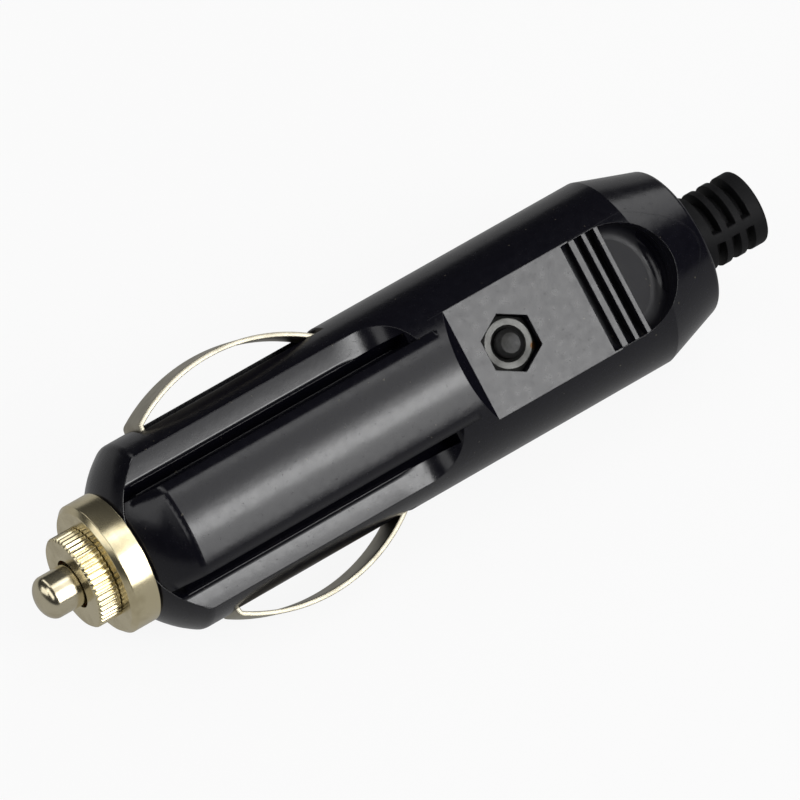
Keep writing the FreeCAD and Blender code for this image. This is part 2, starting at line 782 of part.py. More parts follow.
def make_leaf(label):
    """A bowed strip with a foot hooked under the nose ring and a tail that runs into the handle."""
    body = new_body(label)
    foot_top = roof_height - sheet.roof_play
    foot_bottom = foot_top - sheet.leaf_thickness
    foot_front = channel_front + sheet.foot_end_gap
    tail_top = roof_height - sheet.tail_drop
    tail_bottom = tail_top - sheet.leaf_thickness
    tail_front = window_back + sheet.tail_lead
    tail_back = tail_front + sheet.tail_length
    middle = (window_front + window_back) / 2 - sheet.leaf_crest_lead
    half_chord = tail_front - middle
    bow = leaf_top - tail_top
    outer = (half_chord * half_chord + bow * bow) / (2 * bow)
    inner = outer - sheet.leaf_thickness
    centre = leaf_top - outer
    leg = window_front + sheet.leaf_side_play
    bow_front = leg + sheet.leaf_leg_lean
    under_front = bow_front + sheet.leaf_thickness

    def on_arc(place, radius):
        away = place - middle
        return centre + (radius * radius - away * away).root()

    under_rise = tail_bottom - centre
    under_back = middle + (inner * inner - under_rise * under_rise).root()
    side = sketch_on(body, "XY_Plane", label + "_outline")
    draw_outline(side, [
        (foot_front, foot_top), (leg, foot_top), (bow_front, on_arc(bow_front, outer)),
        (tail_front, tail_top), (tail_back, tail_top), (tail_back, tail_bottom),
        (under_back, tail_bottom), (under_front, on_arc(under_front, inner)),
        (leg + sheet.leaf_thickness, foot_bottom), (foot_front, foot_bottom)],
        {2: (outer, True), 6: (inner, False)})
    extrude(body, label + "_strip", side, sheet.leaf_width, both=True)
    return body


def make_ground_strap():
    body = new_body("ground_strap")
    rod(body, "strap_ring", (strap_front, ZERO, ZERO), sheet.strap_ring_radius, sheet.strap_thickness,
        along="x")
    half = sheet.strap_arm_width / 2
    block(body, "strap_arms", (strap_front, -sheet.strap_arm_reach, -half),
          (strap_front + sheet.strap_thickness, sheet.strap_arm_reach, half))
    half_tongue = sheet.strap_tongue_width / 2
    block(body, "strap_tongue", (strap_front, -half_tongue, sheet.strap_tongue_height),
          (tongue_back, half_tongue, sheet.strap_tongue_height + sheet.strap_thickness))
    rod(body, "strap_hole", (strap_front - CUT_OVER, ZERO, ZERO), chamber_radius + sheet.run_gap,
        sheet.strap_thickness + CUT_OVER, along="x", cut=True)
    return body


# Strain relief

def make_strain_relief():
    body = new_body("strain_relief")
    revolve(body, "boot_turned", [
        (boot_flange_front, sheet.boot_bore), (boot_end, sheet.boot_bore), (boot_end, sheet.boot_radius),
        (housing_back, sheet.boot_radius), (housing_back, sheet.boot_neck_radius),
        (boot_neck_front, sheet.boot_neck_radius), (boot_neck_front, sheet.boot_flange_radius),
        (boot_flange_front, sheet.boot_flange_radius)])
    round_edges(body, "boot_end_round", ring_edge(boot_end, sheet.boot_radius), sheet.boot_round)
    slots = []
    for row in range(BOOT_SLOT_ROWS):
        back = boot_end - sheet.boot_collar - sheet.boot_slot_pitch * row
        front = back - sheet.boot_slot_width
        outside = sheet.boot_radius + CUT_OVER
        slots.append(revolve(body, f"boot_slot_{row + 1}", [
            (front, sheet.boot_slot_floor), (back, sheet.boot_slot_floor), (back, outside),
            (front, outside)], angle=sheet.boot_slot_angle, cut=True))
    pairs = body.newObject("PartDesign::PolarPattern", "boot_slots")
    pairs.Originals = slots
    pairs.Axis = (slots[0].Profile[0], ["H_Axis"])
    pairs.Angle = 360
    pairs.Occurrences = 2
    body.Tip = pairs
    return body


# Assembly

tilt = math.degrees(math.asin(sheet.body_radius.value / math.hypot(
    leaf_top.value, sheet.leaf_width.value / 2)) - math.atan2(sheet.leaf_width.value / 2, leaf_top.value))
tilt_text = (f"asin({sheet.body_radius.text} / hypot({leaf_top.text}; {sheet.leaf_width.text} / 2))"
             f" - atan({sheet.leaf_width.text} / 2 / {leaf_top.text})")
roll = Size(tilt, tilt_text)
half_turn = Size(180.0, "180 deg")
boot_angle = sheet.boot_spine_angle - sheet.boot_slot_angle / 2
boot_turn = Size(boot_angle.value, f"{boot_angle.text} * 1 deg")


def place(body, extra=None):
    """Rolls a piece about the plug's axis and stands it on the ground under the middle of its length."""
    turn = roll if extra is None else roll + extra
    body.Placement = FreeCAD.Placement(
        FreeCAD.Vector(), FreeCAD.Rotation(FreeCAD.Vector(1, 0, 0), turn.value))
    bind(body, "Placement.Rotation.Angle", turn)
    bind(body, "Placement.Base.x", -(tip_end + boot_end) / 2)
    bind(body, "Placement.Base.z", sheet.body_radius)
    return body


pieces = [
    place(make_upper_shell()),
    place(make_lower_shell(), half_turn),
    place(make_clamp_screw()),
    place(make_clamp_nut()),
    place(make_nose_collar()),
    place(make_fuse_cap()),
    place(make_tip_contact()),
    place(make_tip_washer()),
    place(make_fuse_cap_end("fuse_front_cap", fuse_front, 1)),
    place(make_fuse_cap_end("fuse_rear_cap", fuse_back, -1)),
    place(make_fuse_glass()),
    place(make_fuse_wire()),
    place(make_fuse_spring()),
    place(make_rear_contact()),
    place(make_leaf("side_contact_left")),
    place(make_leaf("side_contact_right"), half_turn),
    place(make_ground_strap()),
    place(make_strain_relief(), boot_turn),
]

doc.recompute()
for item in doc.Objects:
    if "Invalid" in item.State or "Error" in item.State:
        raise RuntimeError(f"{item.Label} failed: {item.State}")
for piece in pieces:
    if piece.Shape.isNull() or not piece.Shape.isValid():
        raise RuntimeError(f"{piece.Label} has no valid shape")

os.makedirs("parts", exist_ok=True)
for piece in pieces:
    piece.Shape.exportStep(f"parts/{piece.Label}.step")
    print(piece.Label, len(piece.Shape.Solids), round(piece.Shape.Volume, 1))
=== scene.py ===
"""Twelve-volt cigarette lighter plug, lying on its side in a plain pale studio."""

import json
import logging
import math
from dataclasses import dataclass
from enum import Enum
from typing import Any, Sequence, Union

import bmesh
import bpy
import numpy as np
from mathutils import Matrix, Quaternion, Vector

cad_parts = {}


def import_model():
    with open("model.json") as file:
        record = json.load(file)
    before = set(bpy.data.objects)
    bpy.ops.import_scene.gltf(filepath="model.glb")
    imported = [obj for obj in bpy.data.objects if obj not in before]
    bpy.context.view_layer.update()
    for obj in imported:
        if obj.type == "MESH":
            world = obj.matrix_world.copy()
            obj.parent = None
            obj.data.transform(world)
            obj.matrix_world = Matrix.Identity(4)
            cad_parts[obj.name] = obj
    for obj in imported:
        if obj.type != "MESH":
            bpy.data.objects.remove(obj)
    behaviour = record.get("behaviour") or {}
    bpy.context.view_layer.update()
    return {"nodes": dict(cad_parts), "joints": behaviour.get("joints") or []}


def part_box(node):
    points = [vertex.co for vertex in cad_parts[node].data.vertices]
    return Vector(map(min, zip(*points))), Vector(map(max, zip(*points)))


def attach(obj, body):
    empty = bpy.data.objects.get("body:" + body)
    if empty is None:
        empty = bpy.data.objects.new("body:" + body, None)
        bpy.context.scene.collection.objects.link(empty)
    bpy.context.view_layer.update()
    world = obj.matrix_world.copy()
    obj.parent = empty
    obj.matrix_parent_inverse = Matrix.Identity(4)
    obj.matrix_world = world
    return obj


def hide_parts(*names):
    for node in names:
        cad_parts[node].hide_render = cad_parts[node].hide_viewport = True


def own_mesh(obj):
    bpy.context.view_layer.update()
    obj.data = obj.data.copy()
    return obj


MM = 0.001
# Points of a line that are nearer than this, in millimetres, are the same point.
TINY = 1e-6
# Points of a mesh that are nearer than this, in millimetres, become one.
MERGE = 0.002
# Faces that meet at more than this angle, in degrees, keep a sharp edge.
CREASE = 32.0
# Rows of points along one pitch of a thread.
THREAD_ROWS = 8
# Rays that look for an edge to round.
EDGE_RAYS = 6
# Stretch of the noise that gives lines along the plug.
DRAWN_OUT = (0.05, 1.0, 1.0)
# Length of the collar's flange, which lies against the housing's front face, in millimetres.
FLANGE_LENGTH = 3.2
# Place of the clamp screw behind that face, in millimetres.
SCREW_PLACE = 44.2
LOG = logging.getLogger("lighter_plug")

Colour = tuple[float, float, float]
Triple = tuple[float, float, float]
Span = tuple[float, float]
Scalar = Union[float, "Field"]


@dataclass(frozen=True)
class PlugFrame:
    """The plug's own millimetres, with X along its axis, against the row frame in metres.

    Attributes:
        front: Place of the housing's front face along the row frame's X, in millimetres.
        height: Height of the plug's axis over the floor, in millimetres.
        roll: Turn of the plug about its axis, in radians.
    """

    front: float
    height: float
    roll: float

    @classmethod
    def of(cls, joints: Sequence[dict[str, Any]]) -> "PlugFrame":
        """Reads the plug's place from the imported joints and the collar's box.

        Args:
            joints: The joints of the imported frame.

        Returns:
            The frame that the new pieces are drawn in.
        """
        found = {joint["name"]: joint for joint in joints}
        inward = found["left_leaf_press"]["axis"]
        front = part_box("nose_collar")[0][0] / MM + FLANGE_LENGTH
        height = found["cap_turn"]["pos_m"][2] / MM
        return cls(front, height, math.atan2(-inward[2], -inward[1]))

    @property
    def outward(self) -> Triple:
        """Direction of the left leaf spring's crest in the row frame."""
        return (0.0, math.cos(self.roll), math.sin(self.roll))

    def place(self, points: np.ndarray) -> np.ndarray:
        """Turns points about X by the roll, lifts them to the axis and scales them to metres.

        Args:
            points: Points in the plug's millimetres, with x, y, z last.

        Returns:
            The points in the row frame, in metres.
        """
        cosine, sine = math.cos(self.roll), math.sin(self.roll)
        turn = np.array([[1.0, 0.0, 0.0], [0.0, cosine, -sine], [0.0, sine, cosine]])
        return (points @ turn.T + np.array([self.front, 0.0, self.height])) * MM


@dataclass(frozen=True)
class Patch:
    """A grid of points, rows by columns, that becomes a sheet of four-sided faces.

    Attributes:
        points: Array of rows, columns and x, y, z in the plug's millimetres.
        closed: Whether the last column joins the first.
    """

    points: np.ndarray
    closed: bool = True

    def faces(self, start: int) -> np.ndarray:
        """Corner numbers of each face, as neighbours in the grid.

        Args:
            start: Number of the patch's first point in the mesh.

        Returns:
            One row of four corner numbers for each face.
        """
        rows, columns = self.points.shape[:2]
        row = np.arange(rows - 1)[:, None]
        column = np.arange(columns if self.closed else columns - 1)[None, :]
        beside = (column + 1) % columns
        corners = [row * columns + column, row * columns + beside,
                   (row + 1) * columns + beside, (row + 1) * columns + column]
        return np.stack(corners, axis=-1).reshape(-1, 4) + start

    def upright(self, place: float) -> "Patch":
        """The same surface with its X axis stood up along Z at a place on the plug's axis."""
        return Patch(self.points[..., [1, 2, 0]] + np.array([place, 0.0, 0.0]), self.closed)


def rounded(corners: Sequence[tuple[float, ...]], steps: int = 6) -> np.ndarray:
    """A line through corners, each cut back and joined by a parabola.

    With A and B on the two sides of corner C, at its cut length from it, the curve is
    (1 - t)^2 A + 2 t (1 - t) C + t^2 B.

    Args:
        corners: Place, radius and cut length of each corner; a corner without a cut stays sharp.
        steps: Points on each parabola.

    Returns:
        Points of the line, two numbers each, with no point repeated.
    """
    table = np.array([(*corner, 0.0)[:3] for corner in corners])
    spots, cuts = table[:, :2], table[:, 2:]
    before = np.roll(spots, 1, axis=0) - spots
    after = np.roll(spots, -1, axis=0) - spots
    length = [np.maximum(np.linalg.norm(way, axis=1, keepdims=True), TINY) for way in (before, after)]
    start = spots + before / length[0] * cuts
    end = spots + after / length[1] * cuts
    t = np.linspace(0.0, 1.0, steps)[None, :, None]
    curve = (1 - t) ** 2 * start[:, None] + 2 * t * (1 - t) * spots[:, None] + t ** 2 * end[:, None]
    line = curve.reshape(-1, 2)
    moved = np.linalg.norm(np.diff(line, axis=0), axis=1) > TINY
    return line[np.concatenate([[True], moved])]


def turns(columns: int) -> np.ndarray:
    """Angles round one turn, in even steps, without the last."""
    return np.linspace(0.0, 2 * math.pi, columns, endpoint=False)


def around(place: np.ndarray, radius: np.ndarray, angle: np.ndarray) -> np.ndarray:
    """Points at places along X and radii: (x, r cos t, r sin t) at angle t.

    Args:
        place: Places along X, of a shape that broadcasts with the angles.
        radius: Radii of the same kind.
        angle: Angles in radians.

    Returns:
        Array of the broadcast shape with x, y, z last.
    """
    place, radius, angle = np.broadcast_arrays(place, radius, angle)
    return np.stack([place, radius * np.cos(angle), radius * np.sin(angle)], axis=-1)


def lathe(profile: np.ndarray, columns: int) -> Patch:
    """A profile of places and radii turned about X."""
    return Patch(around(profile[:, :1], profile[:, 1:], turns(columns)[None, :]))


def smooth(value: np.ndarray, low: float, high: float) -> np.ndarray:
    """Smooth step: 0 below low, 1 above high, 3 t^2 - 2 t^3 between."""
    t = np.clip((value - low) / (high - low), 0.0, 1.0)
    return t * t * (3 - 2 * t)


def threaded(start: float, end: float, radius: float, depth: float, pitch: float, columns: int) -> Patch:
    """A screw thread: the radius changes by depth times a triangle wave of x / pitch - t / 2 pi.

    The wave fades out over the last pitch at each end, so that the ends are round.

    Args:
        start: First place along X.
        end: Last place along X.
        radius: Radius of the plain ends.
        depth: Change of radius at the wave's crest; negative for a groove in a rod.
        pitch: Advance in one turn.
        columns: Points round one turn.

    Returns:
        The threaded surface, without its ends.
    """
    rows = int(abs(end - start) / pitch * THREAD_ROWS) + 2
    place = np.linspace(start, end, rows)[:, None]
    angle = turns(columns)[None, :]
    phase = np.mod(place / pitch - angle / (2 * math.pi), 1.0)
    wave = 1 - np.abs(2 * phase - 1)
    edge = np.minimum(np.abs(place - start), np.abs(place - end))
    return Patch(around(place, radius + depth * wave * smooth(edge, 0.0, pitch), angle))


class Field:
    """A node's output socket that adds nodes when it is reckoned with."""

    def __init__(self, graph: "Graph", socket: bpy.types.NodeSocket) -> None:
        """Keeps the socket and the graph that it belongs to."""
        self.graph = graph
        self.socket = socket

    def __add__(self, other: Scalar) -> "Field":
        """Sum of two values."""
        return self.graph.maths("ADD", self, other)

    def __sub__(self, other: Scalar) -> "Field":
        """Difference of two values."""
        return self.graph.maths("SUBTRACT", self, other)

    def __mul__(self, other: Scalar) -> "Field":
        """Product of two values."""
        return self.graph.maths("MULTIPLY", self, other)

    def __truediv__(self, other: Scalar) -> "Field":
        """Quotient of two values."""
        return self.graph.maths("DIVIDE", self, other)

    def __rsub__(self, other: float) -> "Field":
        """Difference with a plain number first."""
        return self.graph.maths("SUBTRACT", other, self)

    def __rtruediv__(self, other: float) -> "Field":
        """Quotient with a plain number first."""
        return self.graph.maths("DIVIDE", other, self)

    def __abs__(self) -> "Field":
        """The value without its sign."""
        return self.graph.maths("ABSOLUTE", self)

    __radd__ = __add__
    __rmul__ = __mul__

    def band(self, low: float, high: float) -> "Field":
        """Smooth step of the value, from 0 at low to 1 at high."""
        return self.graph.node("ShaderNodeMapRange", {"interpolation_type": "SMOOTHSTEP"},
                               {"Value": self, "From Min": low, "From Max": high})

    def fade(self, low: float, high: float) -> "Field":
        """Smooth step of the value, from 1 at low to 0 at high."""
        return 1.0 - self.band(low, high)

    def parts(self) -> tuple["Field", "Field", "Field"]:
        """The x, y and z of a vector."""
        split = self.graph.node("ShaderNodeSeparateXYZ", sockets={"Vector": self}).socket.node
        return tuple(Field(self.graph, socket) for socket in split.outputs)


class Graph:
    """A material's node tree, built by calls."""

    def __init__(self, name: str) -> None:
        """Starts an empty material."""
        self.material = bpy.data.materials.new(name)
        self.material.use_nodes = True
        self.tree = self.material.node_tree
        self.tree.nodes.clear()

    def node(self, kind: str, settings: dict[str, Any] | None = None,
             sockets: dict[str | int, Any] | None = None, output: str | int = 0) -> Field:
        """Adds one node.

        Args:
            kind: The node's type.
            settings: Properties of the node, set before its sockets.
            sockets: Values and links of its inputs, by name or number.
            output: Name or number of the output that is wanted.

        Returns:
            The wanted output.
        """
        made = self.tree.nodes.new(kind)
        for key, value in (settings or {}).items():
            setattr(made, key, value)
        for key, value in (sockets or {}).items():
            if isinstance(value, Field):
                self.tree.links.new(value.socket, made.inputs[key])
            else:
                made.inputs[key].default_value = value
        return Field(self, made.outputs[output])

    def maths(self, operation: str, *values: Scalar) -> Field:
        """One step of arithmetic on numbers."""
        return self.node("ShaderNodeMath", {"operation": operation}, dict(enumerate(values)))

    def local(self, plug: PlugFrame) -> Field:
        """Object coordinates turned and moved into the plug's own millimetres.

        Args:
            plug: Where the plug lies.

        Returns:
            The point as a vector.
        """
        cosine, sine = math.cos(plug.roll), math.sin(plug.roll)
        move = (-plug.front, -plug.height * sine, -plug.height * cosine)
        point = self.node("ShaderNodeTexCoord", output="Object")
        return self.node("ShaderNodeMapping", sockets={
            "Vector": point, "Scale": (1 / MM,) * 3, "Rotation": (-plug.roll, 0.0, 0.0), "Location": move})

    def stretch(self, point: Field, scale: Triple) -> Field:
        """A vector times another, part by part."""
        return self.node("ShaderNodeVectorMath", {"operation": "MULTIPLY"}, {0: point, 1: scale})

    def mix(self, factor: Scalar, first: Union[Colour, Field], second: Colour) -> Field:
        """A colour between two, by a factor.

        Args:
            factor: 0 for the first colour and 1 for the second.
            first: The first colour.
            second: The second colour.

        Returns:
            The colour.
        """
        start = first if isinstance(first, Field) else (*first, 1.0)
        # The node's colours are its inputs 6 and 7 and its output 2.
        sockets = {0: factor, 6: start, 7: (*second, 1.0)}
        return self.node("ShaderNodeMix", {"data_type": "RGBA"}, sockets, 2)

    def relief(self, height: Scalar, distance: float, edge: float = 0.0) -> Field:
        """Normal of a small relief, over edges that look rounded.

        Args:
            height: Height of the relief.
            distance: Millimetres to a unit of height.
            edge: Radius of the rounded edges in millimetres, or 0 for edges as they are.

        Returns:
            The normal.
        """
        sockets = {"Height": height, "Distance": distance * MM, "Strength": 1.0}
        if edge:
            sockets["Normal"] = self.node("ShaderNodeBevel", {"samples": EDGE_RAYS}, {"Radius": edge * MM})
        return self.node("ShaderNodeBump", sockets=sockets)

    def close(self, surface: Field) -> bpy.types.Material:
        """Links a shader to the material's output.

        Args:
            surface: The shader.

        Returns:
            The material.
        """
        made = self.tree.nodes.new("ShaderNodeOutputMaterial")
        self.tree.links.new(surface.socket, made.inputs["Surface"])
        return self.material


@dataclass(frozen=True)
class Cloud:
    """Soft noise over a surface.

    Attributes:
        scale: Features to a unit of the point.
        detail: Steps of finer noise.
    """

    scale: float
    detail: float = 2.0

    def at(self, graph: Graph, point: Field) -> Field:
        """The noise at a point, from 0 to 1."""
        sockets = {"Vector": point, "Scale": self.scale, "Detail": self.detail}
        return graph.node("ShaderNodeTexNoise", sockets=sockets)


class Grain(Enum):
    """How the fine marks run on a surface."""

    TURNED = "rings about the axis"
    DRAWN = "lines along the axis"
    PLAIN = "specks"

    def point(self, graph: Graph, local: Field) -> Field:
        """The point whose noise gives these marks.

        Args:
            graph: The material's tree.
            local: The point in the plug's millimetres.

        Returns:
            A stretched point.
        """
        if self is Grain.PLAIN:
            return local
        if self is Grain.DRAWN:
            return graph.stretch(local, DRAWN_OUT)
        x, y, z = local.parts()
        radius = graph.maths("SQRT", y * y + z * z)
        return graph.node("ShaderNodeCombineXYZ", sockets={0: x, 1: radius, 2: 0.0})


@dataclass(frozen=True)
class Finish:
    """A finish, whose name is that of the record's slot."""

    name: str

    def material(self, plug: PlugFrame) -> bpy.types.Material:
        """Builds the material as a Principled surface.

        Args:
            plug: Where the plug lies.

        Returns:
            The material.
        """
        graph = Graph(self.name)
        sockets = self.sockets(graph, graph.local(plug))
        return graph.close(graph.node("ShaderNodeBsdfPrincipled", sockets=sockets))

    def sockets(self, graph: Graph, local: Field) -> dict[str, Any]:
        """Values and links of the surface's sockets.

        Args:
            graph: The material's tree.
            local: The point in the plug's millimetres.

        Returns:
            The values and links by the sockets' names.
        """
        raise NotImplementedError


@dataclass(frozen=True)
class Moulding(Finish):
    """Black moulded plastic: glossy, with matt, faintly mottled flats and soft edges.

    Sizes are in millimetres, and heights are from the plug's middle plane. A span gives the two places,
    heights or distances between which a mask fades.

    Attributes:
        light: How much lighter the light parts of the mottle are.
        dust: Colour of the stray specks.
        gloss: Roughness of the polished faces; matt is for the pads and dull for the thumb scoops.
        skin: Span from a flat face's plane.
        pad_front: Span where the land ends and the pad begins.
        ledge_end: Span where a ledge's relief runs out.
        crown: Height of a ledge's middle over its sides.
        lean: Fall of a ledge from its middle to its outer side.
        lip: Width of a ledge's rounded inner edge.
        brow: Width of the land's rounded edges.
        bend: Index of refraction.
    """

    name: str = "black_plastic"
    colour: Colour = (0.0020, 0.0019, 0.0042)
    light: float = 1.6
    dust: Colour = (0.05, 0.045, 0.035)
    gloss: float = 0.22
    matt: float = 0.29
    dull: float = 0.46
    mottle: Cloud = Cloud(1.1, 4.0)
    mottle_rough: float = 0.12
    fleck: Cloud = Cloud(3.2)
    fleck_band: Span = (0.62, 0.72)
    fleck_rough: float = 0.06
    fleck_height: float = 0.0008
    speck: Cloud = Cloud(2.3, 0.0)
    speck_band: Span = (0.84, 0.87)
    ripple: Cloud = Cloud(0.5, 3.0)
    ripple_height: float = 0.02
    skin: Span = (0.02, 0.08)
    pad_height: float = 8.4
    pad_front: Span = (37.0, 37.5)
    ledge_height: float = 6.0
    ledge_middle: float = 7.4
    ledge_half: float = 1.4
    ledge_end: Span = (26.9, 30.4)
    crown: float = 0.05
    lean: float = 0.147
    lip: float = 0.6
    land_low: Span = (6.5, 7.0)
    land_side: Span = (5.0, 5.05)
    brow: float = 1.0
    scoop_front: Span = (52.0, 52.3)
    scoop_back: Span = (61.8, 62.1)
    scoop_side: Span = (6.1, 6.2)
    scoop_top: Span = (8.0, 8.3)
    edge: float = 0.1
    bend: float = 1.47

    def sockets(self, graph: Graph, local: Field) -> dict[str, Any]:
        """Values and links of the surface's sockets.

        Args:
            graph: The material's tree.
            local: The point in the plug's millimetres.

        Returns:
            The values and links by the sockets' names.
        """
        place, across, up = local.parts()
        side, height = abs(across), abs(up)
        front = place.fade(*self.pad_front)
        pad = abs(height - self.pad_height).fade(*self.skin) * (1.0 - front)
        scoop = place.band(*self.scoop_front) * place.fade(*self.scoop_back)
        scoop = scoop * side.fade(*self.scoop_side) * height.fade(*self.scoop_top)
        mottle = self.mottle.at(graph, local)
        fleck = self.fleck.at(graph, local).band(*self.fleck_band)
        speck = self.speck.at(graph, local).band(*self.speck_band)
        shine = self.gloss + pad * (self.matt - self.gloss) + scoop * (self.dull - self.gloss)
        rough = shine + (mottle - 0.5) * self.mottle_rough + fleck * self.fleck_rough
        shade = graph.mix(mottle, self.colour, tuple(self.light * part for part in self.colour))
        land = front * height.band(*self.land_low) * side.fade(*self.land_side)
        brow = graph.maths("MAXIMUM", side - (self.land_side[0] - self.brow), 0.0) / self.brow
        fall = self.ledge_fall(graph, place, side, height) + land * brow * brow * (self.brow / 3)
        relief = self.ripple.at(graph, local) * self.ripple_height + fleck * self.fleck_height - fall
        return {"Base Color": graph.mix(speck, shade, self.dust), "Roughness": rough, "IOR": self.bend,
                "Normal": graph.relief(relief, 1.0, self.edge)}

    def ledge_fall(self, graph: Graph, place: Field, side: Field, height: Field) -> Field:
        """Depth of the relief on the ledges: a crown, a lean to the outside and a round inner edge.

        With a from -1 to 1 across a ledge, the first two are crown a^2 + lean a. The edge falls with the
        square of the way into the lip.

        Args:
            graph: The material's tree.
            place: Place along the plug.
            side: Distance to the side.
            height: Distance from the middle plane.

        Returns:
            The depth in millimetres.
        """
        off = graph.maths("MAXIMUM", abs(height - self.ledge_height).band(*self.skin),
                          place.band(*self.ledge_end))
        away = (side - self.ledge_middle) / self.ledge_half
        inner = self.ledge_middle - self.ledge_half + self.lip
        lip = graph.maths("MAXIMUM", inner - side, 0.0) / self.lip
        return (1.0 - off) * (away * (away * self.crown + self.lean) + lip * lip * (self.lip / 2))


@dataclass(frozen=True)
class Metal(Finish):
    """A bare or plated metal with fine marks and patches of tarnish.

    Attributes:
        colour: Colour of the clean metal.
        tarnish: Colour of the dull patches.
        rough: Roughness of the clean metal.
        spread: How much the roughness changes.
        grain: How the marks run.
        fineness: Marks in a millimetre.
        depth: Depth of the marks, in millimetres.
        detail: Steps of finer marks.
        patch: Noise of the dull patches.
        worn: Values of that noise between which the metal turns dull.
        edge: Radius of the edges, in millimetres.
    """

    colour: Colour
    tarnish: Colour
    rough: float
    spread: float = 0.1
    grain: Grain = Grain.PLAIN
    fineness: float = 6.0
    depth: float = 0.002
    detail: float = 3.0
    patch: Cloud = Cloud(0.45, 4.0)
    worn: Span = (0.4, 0.75)
    edge: float = 0.08

    def sockets(self, graph: Graph, local: Field) -> dict[str, Any]:
        """Values and links of the surface's sockets.

        Args:
            graph: The material's tree.
            local: The point in the plug's millimetres.

        Returns:
            The values and links by the sockets' names.
        """
        marks = Cloud(self.fineness, self.detail).at(graph, self.grain.point(graph, local))
        patch = self.patch.at(graph, local)
        rough = self.rough + (patch - 0.5) * self.spread + (marks - 0.5) * self.spread
        return {"Base Color": self.shade(graph, local, patch.band(*self.worn)), "Metallic": 1.0,
                "Roughness": rough, "Normal": graph.relief(marks, self.depth, self.edge)}

    def shade(self, graph: Graph, local: Field, worn: Field) -> Field:
        """Colour of the metal between clean and dull."""
        return graph.mix(worn, self.colour, self.tarnish)


@dataclass(frozen=True)
class RustedMetal(Metal):
    """A metal with one spot of rust.

    Attributes:
        rust: Colour of the rust.
        spot: Middle of the spot, in the plug's millimetres.
        reach: Radius of the spot.
        core: Share of the radius that is wholly covered.
        ragged: Noise of the spot's outline.
    """

    rust: Colour = (0.10, 0.048, 0.017)
    spot: Triple = (SCREW_PLACE + 2.4, -1.4, 7.3)
    reach: float = 0.55
    core: float = 0.6
    ragged: Cloud = Cloud(3.0)

    def shade(self, graph: Graph, local: Field, worn: Field) -> Field:
        """Colour of the metal, with the rust over it.

        Args:
            graph: The material's tree.
            local: The point in the plug's millimetres.
            worn: How dull the metal is.

        Returns:
            The colour.
        """
        away = graph.node("ShaderNodeVectorMath", {"operation": "DISTANCE"}, {0: local, 1: self.spot},
                          "Value")
        outline = away + (self.ragged.at(graph, local) - 0.5) * self.reach
        cover = outline.fade(self.reach * self.core, self.reach)
        return graph.mix(cover, super().shade(graph, local, worn), self.rust)


@dataclass(frozen=True)
class Rubber(Finish):
    """Soft matt black rubber with patches of bloom and a fine grain."""

    name: str = "black_rubber"
    colour: Colour = (0.005, 0.005, 0.0055)
    bloom: Colour = (0.011, 0.011, 0.012)
    rough: float = 0.55
    spread: float = 0.15
    shine: float = 0.12
    patch: Cloud = Cloud(0.7, 4.0)
    grain: Cloud = Cloud(9.0)
    depth: float = 0.006
    edge: float = 0.1

    def sockets(self, graph: Graph, local: Field) -> dict[str, Any]:
        """Values and links of the surface's sockets.

        Args:
            graph: The material's tree.
            local: The point in the plug's millimetres.

        Returns:
            The values and links by the sockets' names.
        """
        patch = self.patch.at(graph, local)
        grain = self.grain.at(graph, local)
        return {"Base Color": graph.mix(patch, self.colour, self.bloom), "Specular IOR Level": self.shine,
                "Roughness": self.rough + (patch - 0.5) * self.spread,
                "Normal": graph.relief(grain, self.depth, self.edge)}


@dataclass(frozen=True)
class Fibre(Finish):
    """Pressed red-brown fibre board with flecks that lie across the plug."""

    name: str = "fibre"
    colour: Colour = (0.26, 0.075, 0.045)
    fleck: Colour = (0.40, 0.15, 0.09)
    lay: Triple = (1.0, 6.0, 3.0)
    cloud: Cloud = Cloud(2.0, 4.0)
    shown: Span = (0.35, 0.7)
    rough: float = 0.62
    spread: float = 0.15
    depth: float = 0.02

    def sockets(self, graph: Graph, local: Field) -> dict[str, Any]:
        """Values and links of the surface's sockets.

        Args:
            graph: The material's tree.
            local: The point in the plug's millimetres.

        Returns:
            The values and links by the sockets' names.
        """
        flecks = self.cloud.at(graph, graph.stretch(local, self.lay))
        return {"Base Color": graph.mix(flecks.band(*self.shown), self.colour, self.fleck),
                "Roughness": self.rough + flecks * self.spread, "Normal": graph.relief(flecks, self.depth)}


@dataclass(frozen=True)
class ClearGlass(Finish):
    """Thin clear tube glass with faint drawn lines."""

    name: str = "fuse_glass"
    colour: Colour = (0.96, 0.98, 0.97)
    lines: Cloud = Cloud(2.5)
    rough: float = 0.02
    spread: float = 0.04
    depth: float = 0.003
    bend: float = 1.5

    def sockets(self, graph: Graph, local: Field) -> dict[str, Any]:
        """Values and links of the surface's sockets.

        Args:
            graph: The material's tree.
            local: The point in the plug's millimetres.

        Returns:
            The values and links by the sockets' names.
        """
        lines = self.lines.at(graph, Grain.DRAWN.point(graph, local))
        return {"Base Color": (*self.colour, 1.0), "Roughness": self.rough + lines * self.spread,
                "IOR": self.bend, "Transmission Weight": 1.0, "Normal": graph.relief(lines, self.depth)}


